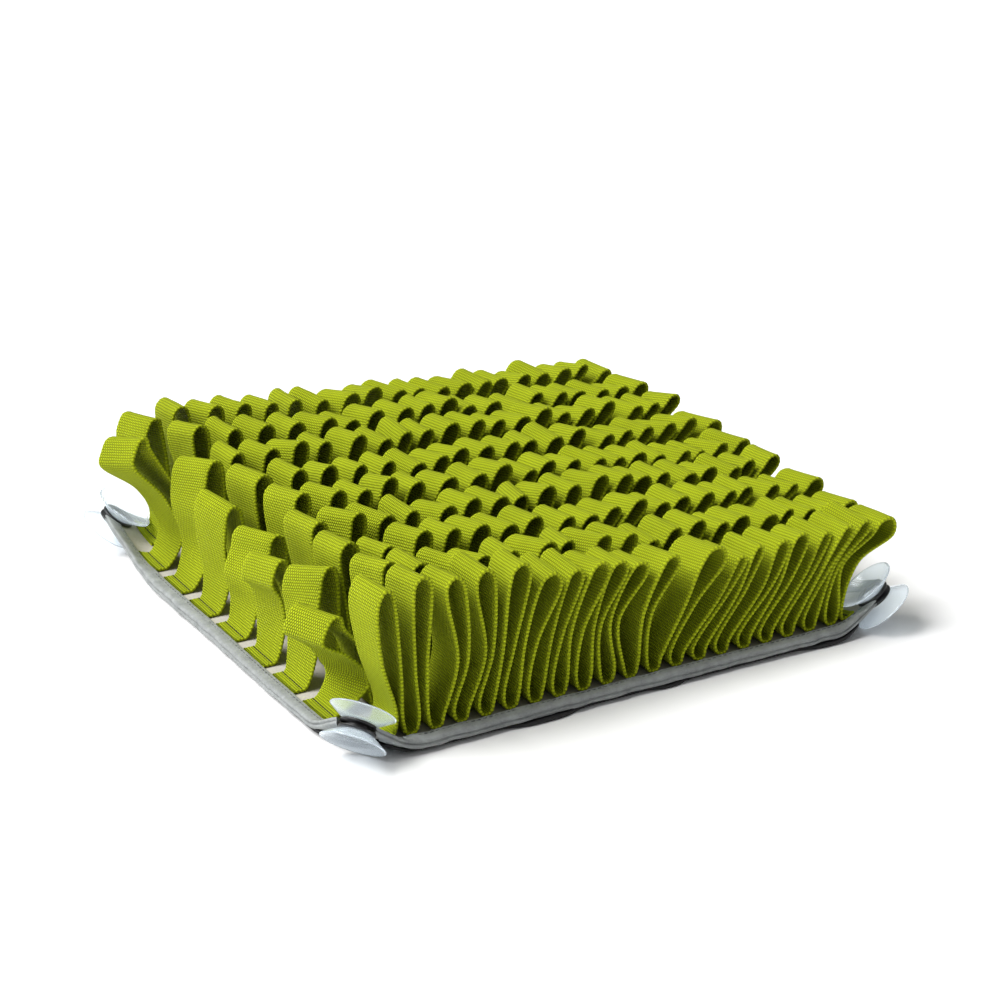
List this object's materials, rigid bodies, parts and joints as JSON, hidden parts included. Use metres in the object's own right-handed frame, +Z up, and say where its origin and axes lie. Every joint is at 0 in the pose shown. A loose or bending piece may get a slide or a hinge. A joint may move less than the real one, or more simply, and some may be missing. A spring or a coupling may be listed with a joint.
{
  "type": "snuffle mat",
  "caption": "Square snuffle mat: parallel rows of standing webbing loops sewn on a bound cloth base, with a double suction cup in each corner, to hide treats for a dog to sniff out.",
  "frame": {"origin": "middle of the mat's flat underside, on the surface that the mat lies on", "axes": "X along the webbing rows, Y from the front row to the back row, Z up"},
  "size_m": [0.3561, 0.3456, 0.0868],
  "materials": {
    "backing_sheet": "matt slip-stop",
    "panel_cloth": "plain cloth",
    "binding_felt": "soft brushed tape",
    "green_webbing": "coarse woven webbing",
    "black_rubber": "satin",
    "clear_soft_plastic": "clear soft plastic"
  },
  "bodies": {
    "root": {"backing": "backing_sheet", "base_panel": "panel_cloth", "binding_front": "binding_felt", "binding_right": "binding_felt", "binding_back": "binding_felt", "binding_left": "binding_felt", "webbing_row_1": "green_webbing", "webbing_row_2": "green_webbing", "webbing_row_3": "green_webbing", "webbing_row_4": "green_webbing", "webbing_row_5": "green_webbing", "webbing_row_6": "green_webbing", "webbing_row_7": "green_webbing", "webbing_row_8": "green_webbing", "webbing_row_9": "green_webbing", "eyelet_1": "black_rubber", "eyelet_2": "black_rubber", "eyelet_3": "black_rubber", "eyelet_4": "black_rubber", "suction_cup_1": "clear_soft_plastic", "suction_cup_2": "clear_soft_plastic", "suction_cup_3": "clear_soft_plastic", "suction_cup_4": "clear_soft_plastic"}
  },
  "joints": []
}
